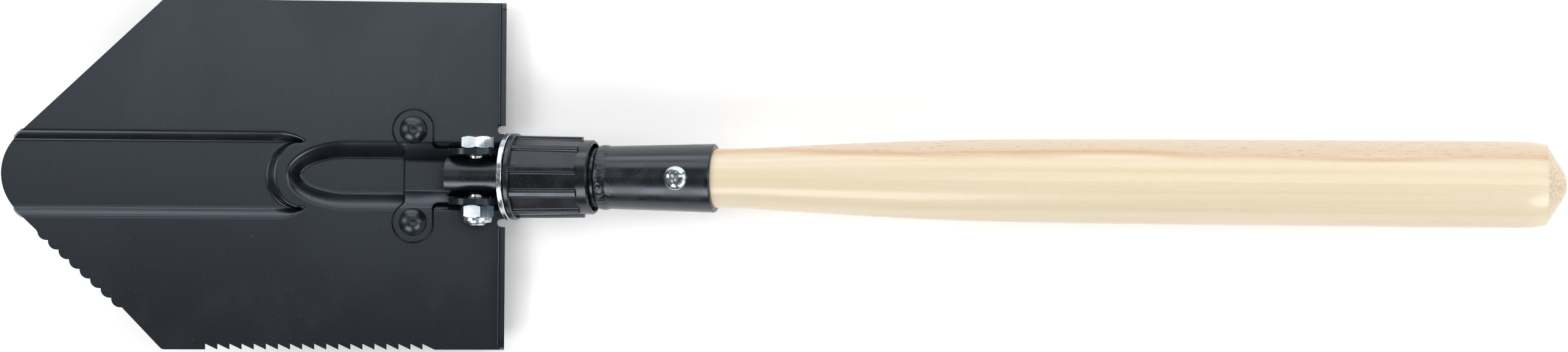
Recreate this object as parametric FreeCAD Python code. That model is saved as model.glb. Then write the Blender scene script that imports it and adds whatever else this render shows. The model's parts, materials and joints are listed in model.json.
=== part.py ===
import FreeCAD, Part
import math
import os

# Folding camp shovel, in millimetres. +X runs along the shaft to the handle's end, +Z is up, on
# the blade's open side, and -Y is the toothed side. Every piece is drawn with the fold pivot at
# (0, 0, 0), blade pieces with the blade level and its tip towards -X. At the end the blade's
# pieces are tilted by the lift, and everything moves so that the origin is at the bottom centre.

Vector = FreeCAD.Vector
CENTRE = Vector(0, 0, 0)
X_AXIS = Vector(1, 0, 0)
Y_AXIS = Vector(0, 1, 0)
Z_AXIS = Vector(0, 0, 1)

# Blade sheet
LIFT = 17.0               # degrees that the tip rises above the shaft's line
PIVOT_HEIGHT = 16.0       # pivot axis above the sheet's top
SHEET = 2.0
HALF_WIDTH = 75.0
TIP_REACH = 201.8         # pivot to tip
TIP_RADIUS = 22.7
SHOULDER_REACH = 133.7    # pivot to where the sides end and the point begins
SHOULDER_ROUND = 2.6
REAR_REACH = 11.7         # rear edge behind the pivot, at the middle
SHEET_TOP = -PIVOT_HEIGHT
SHEET_BOTTOM = SHEET_TOP - SHEET

# Saw teeth and scallops
TEETH = 19
TOOTH_PITCH = 5.14
TOOTH_DEPTH = 2.5
TEETH_START = 115.4       # reach of the first tooth
SCALLOPS = 8
SCALLOP_PITCH = 4.44
SCALLOP_DROP = 4.08
SCALLOP_ROUND = 3.7
SCALLOPS_START = 186.1
SCALLOP_INSET = 0.3

# Pressed channel and bullet-shaped recess
CHANNEL_DEPTH = 3.2
CHANNEL_OPEN = 17.1       # half widths
CHANNEL_FLOOR = 14.45
CHANNEL_END = 75.7        # reach of the centre of the arc that ends the channel
END_ARC_OPEN = 10.7
END_ARC_FLOOR = 13.95
RECESS_DEPTH = 6.0
RECESS_OPEN = 14.1
RECESS_FLOOR = 7.9
RECESS_STRAIGHT = 54.7    # reach where the sides turn into the elliptic nose
RECESS_NOSE_OPEN = 80.8
RECESS_NOSE_FLOOR = 76.0
FLANK_ANGLE = math.atan2(RECESS_DEPTH, RECESS_OPEN - RECESS_FLOOR)

# Foot steps along the rear edge, and the relief notches beside the middle tab
STEP_REACH = 12.1
STEP_TOP = SHEET_TOP + 5.5
STEP_INNER_ROUND = 1.4
STEP_OUTER_ROUND = 3.2
STEP_CORNER_ROUND = 3.5
STEP_START = 21.8
NOTCH_RADIUS = 1.7
NOTCH_X = 10.5

# Hinge bracket
PLATE = 2.5
EAR_INNER = 9.4
EAR_OUTER = 12.0
EAR_RADIUS = 12.9
EAR_FLAT = 12.5           # pivot to each locking flat
LOCKED_FOLDS = (0.0, 90.0, 160.0)
BRACKET_FRONT = 31.6
BRACKET_REAR = 11.0
TAB_REACH = 27.4
TAB_SIDE = 19.85
TAB_RADIUS = 9.2
TAB_BACK = 18.5
RIVET_SHANK = 3.0
RIVET_HEAD = 6.0
RIVET_TAIL = 4.7
RIVET_HEIGHT = 3.0
RIVET_FLAT = 2.3

# Pivot hardware, size M8
BOLT_RADIUS = 4.0
EAR_HOLE = 4.1
HEX_ACROSS = 13.0
HEX_TURN = 22.0
BOLT_HEAD = 5.3
NUT_HEX = 5.7
NUT_TOTAL = 8.0
NUT_RING = 6.25
INSERT_RADIUS = 5.4
BOLT_TAIL = 20.9
BUSH_OUTER = 5.5
BUSH_BORE = 4.2
SHIM_OUTER = 5.6
SHIM_THICK = 0.5

# Neck, thread and lock
NECK_RADIUS = 8.7
NECK_BORE = 6.2
NECK_FRONT = -12.6
NECK_END = 66.0
WASHER_FRONT = 13.2
WASHER_BACK = 15.5
WASHER_RADIUS = 18.65
WASHER_BORE = 9.0
THREAD_PITCH = 4.0
THREAD_CORE = 12.6
THREAD_CREST = 13.9
THREAD_FRONT = 24.5
RIDGE_START = 26.0
RIDGE_TURNS = 6
RIDGE_ROOT_HALF = 1.15
RIDGE_CREST_HALF = 0.5
THREAD_ROOM = 0.35        # clearance between the two threads
COLLAR_THREAD = (20.0, 44.3)
COLLAR_BORE = 14.4        # in front of and behind the collar's thread
BUSH_END = 56.0
COLLAR_FRONT = 15.6
FLANGE_END = 18.3
FLANGE_RADIUS = 18.45
RIBS = 10
RIBS_END = 46.8
RIB_TOP = (17.6, 17.2)    # front and rear radius
RIB_BASE = (16.5, 15.75)
RIB_HALF = 1.35
RIB_FOOT = 0.9
RIB_ROUND = 0.6
RIB_TURN = 10.8
COLLAR_END = 51.6
COLLAR_REAR_RADIUS = 15.75

# Socket and wooden handle
SOCKET_FRONT = 56.0
SOCKET_END = 103.9
SOCKET_RADII = (13.25, 14.5)
SOCKET_WALL = 2.0
SOCKET_TAPER = (SOCKET_RADII[1] - SOCKET_RADII[0]) / (SOCKET_END - SOCKET_FRONT)
HANDLE_FRONT = 68.0
HANDLE_SWELL = ((107.0, 12.45), (131.0, 13.4), (162.0, 15.0), (203.0, 16.65), (250.0, 17.25))
GRIP_RADIUS = 17.4
GRIP_START = 300.0
GRIP_END = 433.0
END_CONE = (444.0, 16.25)
HANDLE_END = 452.15
END_SLOPE = math.radians(31.8)
PIN_X = 89.7
PIN_RADIUS = 2.5
PIN_HEAD = 5.15
PIN_HEIGHT = 2.9


def cylinder_x(radius, start, end):
    return Part.makeCylinder(radius, end - start, Vector(start, 0, 0), X_AXIS)


def tube_x(outer, inner, start, end):
    return cylinder_x(outer, start, end).cut(cylinder_x(inner, start - 1, end + 1))


def chain(start, steps):
    """A wire from start: one point in a step is a straight run, two are an arc's middle and end."""
    edges = []
    here = start
    for step in steps:
        if len(step) == 1:
            edges.append(Part.LineSegment(here, step[0]).toShape())
        else:
            edges.append(Part.Arc(here, step[0], step[1]).toShape())
        here = step[-1]
    return Part.Wire(edges)


def turned(profile):
    """A solid of revolution about X, from a closed line of (x, radius) points."""
    points = [Vector(x, 0, radius) for x, radius in profile]
    face = Part.Face(Part.makePolygon(points + points[:1]))
    return face.revolve(CENTRE, X_AXIS, 360)


def along_y(shape, side=1):
    """Turn a shape made along +X so that it runs along +Y, or -Y for side -1."""
    shape.rotate(CENTRE, Z_AXIS, 90 * side)
    return shape


def side_prism(points, low, high):
    """A prism along Y, from a closed line of (x, z) points."""
    corners = [Vector(x, low, z) for x, z in points]
    return Part.Face(Part.makePolygon(corners + corners[:1])).extrude(Vector(0, high - low, 0))


def section_prism(points, low, high):
    """A prism along X, from a closed line of (y, z) points."""
    corners = [Vector(low, y, z) for y, z in points]
    return Part.Face(Part.makePolygon(corners + corners[:1])).extrude(Vector(high - low, 0, 0))


# ---- blade -----------------------------------------------------------------------------------

def point_tangent():
    """Where the straight edge from a shoulder meets the tip's arc, on the +Y side."""
    ahead = TIP_REACH - TIP_RADIUS - SHOULDER_REACH
    distance = math.hypot(ahead, HALF_WIDTH)
    lean = math.atan2(ahead, HALF_WIDTH) + math.asin(TIP_RADIUS / distance)
    run = math.sqrt(distance ** 2 - TIP_RADIUS ** 2)
    return -SHOULDER_REACH - run * math.sin(lean), HALF_WIDTH - run * math.cos(lean)


def edge_y(x):
    """The toothed side's straight diagonal edge: its y at x."""
    tangent_x, tangent_y = point_tangent()
    slope = (HALF_WIDTH - tangent_y) / (-SHOULDER_REACH - tangent_x)
    return -HALF_WIDTH - slope * (x + SHOULDER_REACH)


def scallop_steps():
    """Quarter-round bulges, each running from one small notch to the next."""
    x = -SCALLOPS_START
    y = edge_y(x) + SCALLOP_INSET
    steps = [(Vector(x, y, 0),)]
    for _ in range(SCALLOPS):
        drop_y = y - (SCALLOP_DROP - SCALLOP_ROUND)
        middle = Vector(x + SCALLOP_ROUND * (1 - math.sqrt(0.5)),
                        drop_y - SCALLOP_ROUND * math.sqrt(0.5), 0)
        steps.append((Vector(x, drop_y, 0),))
        steps.append((middle, Vector(x + SCALLOP_ROUND, y - SCALLOP_DROP, 0)))
        x += SCALLOP_PITCH
        y -= SCALLOP_DROP
        steps.append((Vector(x, y, 0),))
    steps.append((Vector(x, edge_y(x), 0),))
    return steps


def shoulder_steps():
    """The small round where the diagonal edge meets the toothed side."""
    tangent_x, tangent_y = point_tangent()
    turn = math.atan2(HALF_WIDTH - tangent_y, -SHOULDER_REACH - tangent_x)
    cut = SHOULDER_ROUND * math.tan(turn / 2)
    corner = Vector(-SHOULDER_REACH, -HALF_WIDTH, 0)
    start = corner + Vector(-cut * math.cos(turn), cut * math.sin(turn), 0)
    end = corner + Vector(cut, 0, 0)
    centre = end + Vector(0, SHOULDER_ROUND, 0)
    outward = (corner - centre).normalize()
    return [(start,), (centre + outward * SHOULDER_ROUND, end)]


def tooth_steps():
    steps = []
    x = -TEETH_START
    for _ in range(TEETH):
        steps.append((Vector(x, -HALF_WIDTH, 0),))
        steps.append((Vector(x, TOOTH_DEPTH - HALF_WIDTH, 0),))
        x += TOOTH_PITCH
    steps.append((Vector(x, -HALF_WIDTH, 0),))
    return steps


def blade_outline():
    """The flat sheet's outline, in the XY plane. The steps at the rear are added later."""
    tangent_x, tangent_y = point_tangent()
    bend_x = STEP_REACH - STEP_OUTER_ROUND
    start = Vector(bend_x, HALF_WIDTH, 0)
    steps = [(Vector(-SHOULDER_REACH, HALF_WIDTH, 0),),
             (Vector(tangent_x, tangent_y, 0),),
             (Vector(-TIP_REACH, 0, 0), Vector(tangent_x, -tangent_y, 0))]
    steps += scallop_steps() + shoulder_steps() + tooth_steps()
    steps += [(Vector(bend_x, -HALF_WIDTH, 0),),
              (Vector(bend_x, -STEP_START, 0),),
              (Vector(REAR_REACH, -STEP_START, 0),),
              (Vector(REAR_REACH, STEP_START, 0),),
              (Vector(bend_x, STEP_START, 0),),
              (start,)]
    return chain(start, steps)


def outline_prism(low, high):
    wire = blade_outline()
    wire.translate(Vector(0, 0, low))
    return Part.Face(wire).extrude(Vector(0, 0, high - low))


def channel_outline(half, arc, z):
    """The channel ends around the recess's nose, with a small round horn on each side."""
    far = -TIP_REACH - 15
    end = -CHANNEL_END
    horn = (half - arc) / 2
    middle = (half + arc) / 2
    start = Vector(far, half, z)
    return chain(start, [
        (Vector(end, half, z),),
        (Vector(end + horn, middle, z), Vector(end, arc, z)),
        (Vector(end - arc, 0, z), Vector(end, -arc, z)),
        (Vector(end + horn, -middle, z), Vector(end, -half, z)),
        (Vector(far, -half, z),),
        (start,)])


def recess_outline(half, nose, z):
    rear = REAR_REACH + 10
    centre = Vector(-RECESS_STRAIGHT, 0, z)
    oval = Part.Ellipse(centre, nose - RECESS_STRAIGHT, half)
    bend = Part.ArcOfEllipse(oval, math.pi / 2, 3 * math.pi / 2).toShape()
    rear_upper = Vector(rear, half, z)
    rear_lower = Vector(rear, -half, z)
    first = Part.LineSegment(rear_upper, centre + Vector(0, half, 0)).toShape()
    second = Part.LineSegment(centre - Vector(0, half, 0), rear_lower).toShape()
    close = Part.LineSegment(rear_lower, rear_upper).toShape()
    return Part.Wire([first, bend, second, close])


def pressings(drop, grow):
    """The two pressed hollows: drop 0 gives the top side, drop SHEET the metal under them."""
    top = SHEET_TOP - drop
    channel = Part.makeLoft([
        channel_outline(CHANNEL_OPEN + grow, END_ARC_OPEN - grow, top),
        channel_outline(CHANNEL_FLOOR + grow, END_ARC_FLOOR - grow, top - CHANNEL_DEPTH)], True, True)
    recess = Part.makeLoft([
        recess_outline(RECESS_OPEN + grow, RECESS_NOSE_OPEN + grow, top),
        recess_outline(RECESS_FLOOR + grow, RECESS_NOSE_FLOOR + grow, top - RECESS_DEPTH)], True, True)
    return channel, recess


def quarter(centre_x, centre_z, radius, start_angle, y):
    """The middle and end of a quarter arc in the XZ plane, going anticlockwise from start_angle."""
    points = []
    for angle in (start_angle + 45, start_angle + 90):
        turn = math.radians(angle)
        points.append(Vector(centre_x + radius * math.cos(turn), y, centre_z + radius * math.sin(turn)))
    return tuple(points)


def foot_step(side):
    """The rear edge is turned up into a narrow step for the boot."""
    y = STEP_START if side > 0 else -HALF_WIDTH
    wall_x = STEP_REACH - SHEET
    inner = STEP_INNER_ROUND
    outer = STEP_OUTER_ROUND
    bend_x = STEP_REACH - outer
    start = Vector(bend_x, y, SHEET_BOTTOM)
    wire = chain(start, [
        quarter(bend_x, SHEET_BOTTOM + outer, outer, -90, y),
        (Vector(STEP_REACH, y, STEP_TOP),),
        (Vector(wall_x, y, STEP_TOP),),
        (Vector(wall_x, y, SHEET_TOP + inner),),
        (Vector(wall_x - inner * (1 - math.sqrt(0.5)), y, SHEET_TOP + inner * (1 - math.sqrt(0.5))),
         Vector(wall_x - inner, y, SHEET_TOP)),
        (Vector(wall_x - inner, y, SHEET_BOTTOM),),
        (start,)])
    step = Part.Face(wire).extrude(Vector(0, HALF_WIDTH - STEP_START, 0))
    for edge in step.Edges:
        middle = edge.CenterOfMass
        if abs(middle.y - side * HALF_WIDTH) < 0.01 and abs(middle.z - STEP_TOP) < 0.01:
            return step.makeFillet(STEP_CORNER_ROUND, [edge])
    return step


def relief_notch(side):
    y = side * (STEP_START - NOTCH_RADIUS)
    low = SHEET_BOTTOM - 1
    hole = Part.makeCylinder(NOTCH_RADIUS, 12, Vector(NOTCH_X, y, low), Z_AXIS)
    mouth = Part.makeBox(5, 2 * NOTCH_RADIUS, 12, Vector(NOTCH_X, y - NOTCH_RADIUS, low))
    return hole.fuse(mouth)


def rivet_places():
    return {"left": Vector(-TAB_REACH, -TAB_SIDE, 0), "right": Vector(-TAB_REACH, TAB_SIDE, 0)}


def blade():
    grow = SHEET * math.tan(FLANK_ANGLE / 2)
    channel_metal, recess_metal = pressings(SHEET, grow)
    channel_hollow, recess_hollow = pressings(0, 0)
    depth = RECESS_DEPTH + SHEET + 2
    limits = outline_prism(SHEET_TOP - depth, SHEET_TOP)
    metal = channel_metal.fuse(recess_metal).common(limits)
    sheet = outline_prism(SHEET_BOTTOM, SHEET_TOP).fuse([foot_step(1), foot_step(-1)])
    shape = sheet.fuse(metal).cut([channel_hollow, recess_hollow])
    shape = shape.cut([relief_notch(1), relief_notch(-1)])
    for place in rivet_places().values():
        low = place + Vector(0, 0, SHEET_BOTTOM - 1)
        shape = shape.cut(Part.makeCylinder(RIVET_SHANK + 0.02, SHEET + 2, low, Z_AXIS))
    return shape.removeSplitter()


# ---- hinge bracket and its rivets ------------------------------------------------------------

def nested_line(lift, shift, side_reach):
    """The recess's section as (y, z) points, raised by lift and drawn in by shift."""
    floor = SHEET_TOP - RECESS_DEPTH + lift
    top = SHEET_TOP + lift
    half = [(RECESS_FLOOR - shift, floor), (RECESS_OPEN - shift, top), (side_reach, top)]
    return [(-y, z) for y, z in reversed(half)] + half


def bracket_plate():
    reach = TAB_SIDE + TAB_RADIUS + 1
    shift = PLATE * math.tan(FLANK_ANGLE / 2)
    lower = nested_line(0, 0, reach)
    upper = nested_line(PLATE, shift, reach)
    front = -TAB_REACH - TAB_RADIUS
    pressed = section_prism(lower + upper[::-1], front - 1, BRACKET_REAR)
    low = SHEET_TOP - RECESS_DEPTH - 1
    height = RECESS_DEPTH + PLATE + 3
    length = BRACKET_FRONT + BRACKET_REAR
    plan = Part.makeBox(length, 2 * EAR_OUTER, height, Vector(-BRACKET_FRONT, -EAR_OUTER, low))
    band_length = BRACKET_FRONT - TAB_BACK
    plan = plan.fuse(Part.makeBox(band_length, 2 * TAB_SIDE, height,
                                  Vector(-BRACKET_FRONT, -TAB_SIDE, low)))
    for place in rivet_places().values():
        plan = plan.fuse(Part.makeCylinder(TAB_RADIUS, height, place + Vector(0, 0, low), Z_AXIS))
    behind = Part.makeBox(TAB_BACK, 4 * TAB_SIDE, height, Vector(-TAB_BACK, -2 * TAB_SIDE, low))
    keep = Part.makeBox(TAB_BACK + BRACKET_REAR, 2 * EAR_OUTER, height,
                        Vector(-TAB_BACK, -EAR_OUTER, low))
    return pressed.common(plan.cut(behind.cut(keep)))


def ear(side):
    """A round ear with a locking flat for each locked position, and a web down to the floor."""
    low = EAR_INNER if side > 0 else -EAR_OUTER
    head = Part.makeCylinder(EAR_RADIUS, EAR_OUTER - EAR_INNER, Vector(0, low, 0), Y_AXIS)
    for fold in LOCKED_FOLDS:
        block = Part.makeBox(5, 40, 30, Vector(EAR_FLAT, -20, -15))
        block.rotate(CENTRE, Y_AXIS, -(LIFT + fold))
        head = head.cut(block)
    floor = SHEET_TOP - RECESS_DEPTH
    web_back = EAR_FLAT + 0.1
    foot_top = floor + PLATE + 2.9
    web = side_prism([(web_back, -2.6), (BRACKET_REAR, floor), (-16.0, floor), (-16.0, floor + PLATE),
                      (-web_back, foot_top), (-web_back, -2.6)], low, low + EAR_OUTER - EAR_INNER)
    above = section_prism(nested_line(0, 0, 30) + [(30, 20), (-30, 20)], -40, 40)
    return head.fuse(web).common(above)


def hinge_bracket():
    shape = bracket_plate().fuse([ear(1), ear(-1)])
    bolt_hole = Part.makeCylinder(EAR_HOLE, 40, Vector(0, -20, 0), Y_AXIS)
    shape = shape.cut(bolt_hole)
    for place in rivet_places().values():
        low = place + Vector(0, 0, SHEET_TOP - 1)
        shape = shape.cut(Part.makeCylinder(RIVET_SHANK + 0.02, PLATE + 2, low, Z_AXIS))
    return shape.removeSplitter()


def dome(seat, radius, height, flat, shank_end):
    """A rivet half along +X: a shank, and a head from seat that is domed with a small flat."""
    start = Vector(shank_end, 0, RIVET_SHANK)
    middle_x = seat + height * 0.72
    middle_r = radius - (radius - flat) * 0.42
    wire = chain(start, [
        (Vector(seat, 0, RIVET_SHANK),),
        (Vector(seat, 0, radius),),
        (Vector(middle_x, 0, middle_r), Vector(seat + height, 0, flat)),
        (Vector(seat + height, 0, 0),),
        (Vector(shank_end, 0, 0),),
        (start,)])
    return Part.Face(wire).revolve(CENTRE, X_AXIS, 360)


def bracket_rivet(place):
    """A domed head on the bracket's tab and a lower one under the sheet."""
    upper = dome(PLATE, RIVET_HEAD, RIVET_HEIGHT, RIVET_FLAT, 0)
    lower = dome(SHEET, RIVET_TAIL, RIVET_HEIGHT * 0.6, RIVET_FLAT, 0)
    upper.rotate(CENTRE, Y_AXIS, -90)
    lower.rotate(CENTRE, Y_AXIS, 90)
    shape = upper.fuse(lower).removeSplitter()
    shape.translate(place + Vector(0, 0, SHEET_TOP))
    return shape


# ---- pivot hardware --------------------------------------------------------------------------

def hexagon_x(start, end):
    corner = HEX_ACROSS / 2 / math.cos(math.pi / 6)
    points = []
    for k in range(6):
        turn = math.radians(HEX_TURN + 60 * k)
        points.append((corner * math.cos(turn), corner * math.sin(turn)))
    return section_prism(points, start, end)


def chamfered_hex(start, end):
    """A hexagon whose outer corners are turned down at both ends."""
    corner = HEX_ACROSS / 2 / math.cos(math.pi / 6)
    face = HEX_ACROSS / 2 - 0.3
    rise = (corner - face) * math.tan(math.radians(30))
    limit = turned([(start, 0), (start, face), (start + rise, corner), (end - rise, corner),
                    (end, face), (end, 0)])
    return hexagon_x(start, end).common(limit)


def pivot_bolt():
    head = chamfered_hex(EAR_OUTER, EAR_OUTER + BOLT_HEAD)
    bevel = 0.8
    shank = turned([(-BOLT_TAIL, 0), (-BOLT_TAIL, BOLT_RADIUS - bevel),
                    (bevel - BOLT_TAIL, BOLT_RADIUS), (EAR_OUTER + 1, BOLT_RADIUS), (EAR_OUTER + 1, 0)])
    return along_y(head.fuse(shank).removeSplitter())


def pivot_nut():
    seat = EAR_OUTER
    hexagon = chamfered_hex(seat, seat + NUT_HEX)
    ring_end = seat + NUT_TOTAL
    lip = 0.6
    ring = turned([(seat + NUT_HEX - 1, 0), (seat + NUT_HEX - 1, NUT_RING), (ring_end - 1.1, NUT_RING),
                   (ring_end - 0.35, NUT_RING - 0.35), (ring_end, NUT_RING - 1.1), (ring_end, 0)])
    bore = cylinder_x(BOLT_RADIUS + 0.05, seat - 1, ring_end + 1)
    groove = cylinder_x(INSERT_RADIUS, seat + NUT_HEX + 0.2, ring_end - lip)
    mouth = cylinder_x(BOLT_RADIUS + 0.6, ring_end - lip - 0.1, ring_end + 1)
    return along_y(hexagon.fuse(ring).cut([bore, groove, mouth]), -1)


def nut_insert():
    start = EAR_OUTER + NUT_HEX + 0.2
    end = EAR_OUTER + NUT_TOTAL - 0.6
    return along_y(tube_x(INSERT_RADIUS, BOLT_RADIUS + 0.02, start, end), -1)


def shim(side):
    start = NECK_RADIUS + 0.1
    return along_y(tube_x(SHIM_OUTER, EAR_HOLE, start, start + SHIM_THICK), side)


# ---- neck, thread and lock -------------------------------------------------------------------

def neck_tube():
    cross_hole = Part.makeCylinder(BUSH_OUTER + 0.05, 40, Vector(0, -20, 0), Y_AXIS)
    return tube_x(NECK_RADIUS, NECK_BORE, NECK_FRONT, NECK_END).cut(cross_hole)


def pivot_bush():
    """A spacer through the neck: its ends follow the tube's round outside."""
    length = NECK_RADIUS + 2
    bush = along_y(tube_x(BUSH_OUTER, BUSH_BORE, -length, length))
    return bush.common(cylinder_x(NECK_RADIUS, -10, 10))


def thread_ridge(root, crest, root_half, crest_half, start, turns):
    """One helical ridge along X, right-handed, from a trapezoid section swept along a helix."""
    helix = Part.makeHelix(THREAD_PITCH, THREAD_PITCH * turns, root)
    points = [Vector(root, 0, -root_half), Vector(crest, 0, -crest_half),
              Vector(crest, 0, crest_half), Vector(root, 0, root_half)]
    section = Part.makePolygon(points + points[:1])
    ridge = Part.Wire(helix.Edges).makePipeShell([section], True, True)
    ridge.rotate(CENTRE, Y_AXIS, 90)
    ridge.translate(Vector(start, 0, 0))
    return ridge


def thread_bush():
    """A sleeve on the neck: threaded in front, plain behind, with a spigot into the socket."""
    sleeve = turned([(THREAD_FRONT, NECK_RADIUS + 0.05), (THREAD_FRONT, THREAD_CORE - 1),
                     (THREAD_FRONT + 1, THREAD_CORE), (BUSH_END, THREAD_CORE),
                     (BUSH_END, SOCKET_RADII[0] - SOCKET_WALL - 0.05),
                     (NECK_END, SOCKET_RADII[0] - SOCKET_WALL - 0.05),
                     (NECK_END, NECK_RADIUS + 0.05)])
    ridge = thread_ridge(THREAD_CORE - 0.2, THREAD_CREST, RIDGE_ROOT_HALF, RIDGE_CREST_HALF,
                         RIDGE_START, RIDGE_TURNS)
    return sleeve.fuse(ridge)


def rib_section(x, top, base):
    """The grip's closed section at x: straight panels between ribs with round feet and tops."""
    def spot(turn, across, up):
        return Vector(x, up * math.sin(turn) + across * math.cos(turn),
                      up * math.cos(turn) - across * math.sin(turn))

    half = RIB_HALF
    foot = RIB_FOOT
    edge = RIB_ROUND
    inset = 1 - math.sqrt(0.5)
    steps = []
    start = None
    for k in range(RIBS):
        turn = math.radians(RIB_TURN + 360 * k / RIBS)
        first = spot(turn, -half - foot, base)
        if start is None:
            start = first
        else:
            steps.append((first,))
        for side in (-1, 1):
            foot_middle = spot(turn, side * (half + foot * inset), base + foot * inset)
            top_middle = spot(turn, side * (half - edge * inset), top - edge * inset)
            low = spot(turn, side * half, base + foot)
            high = spot(turn, side * half, top - edge)
            crown = spot(turn, side * (half - edge), top)
            if side < 0:
                steps += [(foot_middle, low), (high,), (top_middle, crown)]
            else:
                steps += [(crown,), (top_middle, high), (low,),
                          (foot_middle, spot(turn, half + foot, base))]
    steps.append((start,))
    return chain(start, steps)


def lock_collar():
    """A screw collar: front flange, tapered ribbed grip, plain rear band, threaded bore."""
    grip = Part.makeLoft([rib_section(FLANGE_END - 0.5, RIB_TOP[0], RIB_BASE[0]),
                          rib_section(RIBS_END, RIB_TOP[1], RIB_BASE[1])], True, True)
    bevel = 0.6
    outer = turned([(COLLAR_FRONT, 0), (COLLAR_FRONT, FLANGE_RADIUS - bevel),
                    (COLLAR_FRONT + bevel, FLANGE_RADIUS), (FLANGE_END - bevel, FLANGE_RADIUS),
                    (FLANGE_END, FLANGE_RADIUS - bevel), (FLANGE_END, 0)])
    band = turned([(RIBS_END - 0.5, 0), (RIBS_END - 0.5, COLLAR_REAR_RADIUS),
                   (COLLAR_END - bevel, COLLAR_REAR_RADIUS), (COLLAR_END, COLLAR_REAR_RADIUS - bevel),
                   (COLLAR_END, 0)])
    body = outer.fuse([grip, band])
    narrow = THREAD_CORE + THREAD_ROOM
    bore = turned([(COLLAR_FRONT - 1, 0), (COLLAR_FRONT - 1, COLLAR_BORE),
                   (COLLAR_THREAD[0], COLLAR_BORE), (COLLAR_THREAD[0], narrow),
                   (COLLAR_THREAD[1], narrow), (COLLAR_THREAD[1], COLLAR_BORE),
                   (COLLAR_END + 1, COLLAR_BORE), (COLLAR_END + 1, 0)])
    groove = thread_ridge(THREAD_CORE + 0.1, THREAD_CREST + THREAD_ROOM,
                          RIDGE_ROOT_HALF + THREAD_ROOM, RIDGE_CREST_HALF + THREAD_ROOM,
                          RIDGE_START - 2 * THREAD_PITCH, RIDGE_TURNS + 1)
    return body.cut(bore).cut(groove)


def lock_washer():
    bevel = 0.3
    outline = [(WASHER_FRONT, WASHER_BORE), (WASHER_FRONT, WASHER_RADIUS - bevel),
               (WASHER_FRONT + bevel, WASHER_RADIUS), (WASHER_BACK - bevel, WASHER_RADIUS),
               (WASHER_BACK, WASHER_RADIUS - bevel), (WASHER_BACK, WASHER_BORE)]
    return turned(outline)


# ---- socket and handle -----------------------------------------------------------------------

def socket_radius(x):
    return SOCKET_RADII[0] + SOCKET_TAPER * (x - SOCKET_FRONT)


def pin_cylinder(radius, low, high):
    return Part.makeCylinder(radius, high - low, Vector(PIN_X, 0, low), Z_AXIS)


def socket():
    """A tapered tube, with its mouth's edge rounded over."""
    lip = 0.8
    end_radius = socket_radius(SOCKET_END)
    start = Vector(SOCKET_FRONT, 0, SOCKET_RADII[0] - SOCKET_WALL)
    wire = chain(start, [
        (Vector(SOCKET_FRONT, 0, SOCKET_RADII[0]),),
        (Vector(SOCKET_END - lip, 0, socket_radius(SOCKET_END - lip)),),
        (Vector(SOCKET_END - lip * 0.29, 0, end_radius - lip * 0.29),
         Vector(SOCKET_END, 0, end_radius - lip)),
        (Vector(SOCKET_END, 0, end_radius - SOCKET_WALL),),
        (start,)])
    tube = Part.Face(wire).revolve(CENTRE, X_AXIS, 360)
    return tube.cut(pin_cylinder(PIN_RADIUS, -30, 30))


def socket_weld():
    """An uneven-looking bead is a plain round ring here, laid over the joint."""
    bead = turned([(53.2, THREAD_CORE), (54.2, 13.35), (56.0, 13.8), (57.6, 13.7),
                   (58.8, socket_radius(58.8)), (56.0, SOCKET_RADII[0]), (56.0, THREAD_CORE)])
    return bead


def handle():
    """A turned handle: tapered seat, long swell, even grip and a blunt rounded cone."""
    slope = math.tan(END_SLOPE)
    cone_x, cone_radius = END_CONE
    nose = ((slope * cone_radius - (HANDLE_END - cone_x))
            / (slope * math.sin(END_SLOPE) - (1 - math.cos(END_SLOPE))))
    nose_radius = nose * math.sin(END_SLOPE)
    nose_x = HANDLE_END - nose * (1 - math.cos(END_SLOPE))
    half_turn = END_SLOPE / 2
    nose_middle = Vector(HANDLE_END - nose * (1 - math.cos(half_turn)), 0, nose * math.sin(half_turn))
    seat = socket_radius(HANDLE_FRONT) - SOCKET_WALL - 0.05
    mouth = socket_radius(SOCKET_END) - SOCKET_WALL - 0.05
    swell = Part.BSplineCurve()
    points = [Vector(SOCKET_END, 0, mouth)]
    points += [Vector(x, 0, radius) for x, radius in HANDLE_SWELL]
    points.append(Vector(GRIP_START, 0, GRIP_RADIUS))
    swell.interpolate(Points=points, InitialTangent=Vector(1, 0, SOCKET_TAPER), FinalTangent=X_AXIS)
    front = chain(Vector(HANDLE_FRONT, 0, 0), [(Vector(HANDLE_FRONT, 0, seat),), (points[0],)])
    rear = chain(points[-1], [
        (Vector(GRIP_END, 0, GRIP_RADIUS),),
        (Vector(GRIP_END + 6.8, 0, GRIP_RADIUS - 0.35), Vector(cone_x, 0, cone_radius)),
        (Vector(nose_x, 0, nose_radius),),
        (nose_middle, Vector(HANDLE_END, 0, 0)),
        (Vector(HANDLE_FRONT, 0, 0),)])
    outline = Part.Wire(front.Edges + [swell.toShape()] + rear.Edges)
    shape = Part.Face(outline).revolve(CENTRE, X_AXIS, 360)
    return shape.cut(pin_cylinder(PIN_RADIUS, -30, 30))


def handle_rivet():
    """A rivet right through the socket and the handle, with a domed head on each side."""
    radius = socket_radius(PIN_X)
    height = PIN_HEIGHT
    ball = (PIN_HEAD ** 2 + height ** 2) / (2 * height)
    top = radius + height
    cap = Part.makeSphere(ball, Vector(PIN_X, 0, top - ball))
    slice_box = Part.makeBox(20, 20, height + 1, Vector(PIN_X - 10, -10, radius - 0.6))
    skirt = pin_cylinder(PIN_HEAD, radius - 1.2, radius)
    head = cap.common(slice_box).common(pin_cylinder(PIN_HEAD, 0, 30)).fuse(skirt)
    before = PIN_X - 14
    after = PIN_X + 14
    inside = turned([(before, 0), (before, socket_radius(before) + 0.03),
                     (after, socket_radius(after) + 0.03), (after, 0)])
    head = head.cut(inside)
    other = head.mirror(CENTRE, Z_AXIS)
    shank = pin_cylinder(PIN_RADIUS - 0.05, -radius, radius)
    return shank.fuse([head, other]).removeSplitter()


# ---- the whole shovel ------------------------------------------------------------------------

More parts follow.
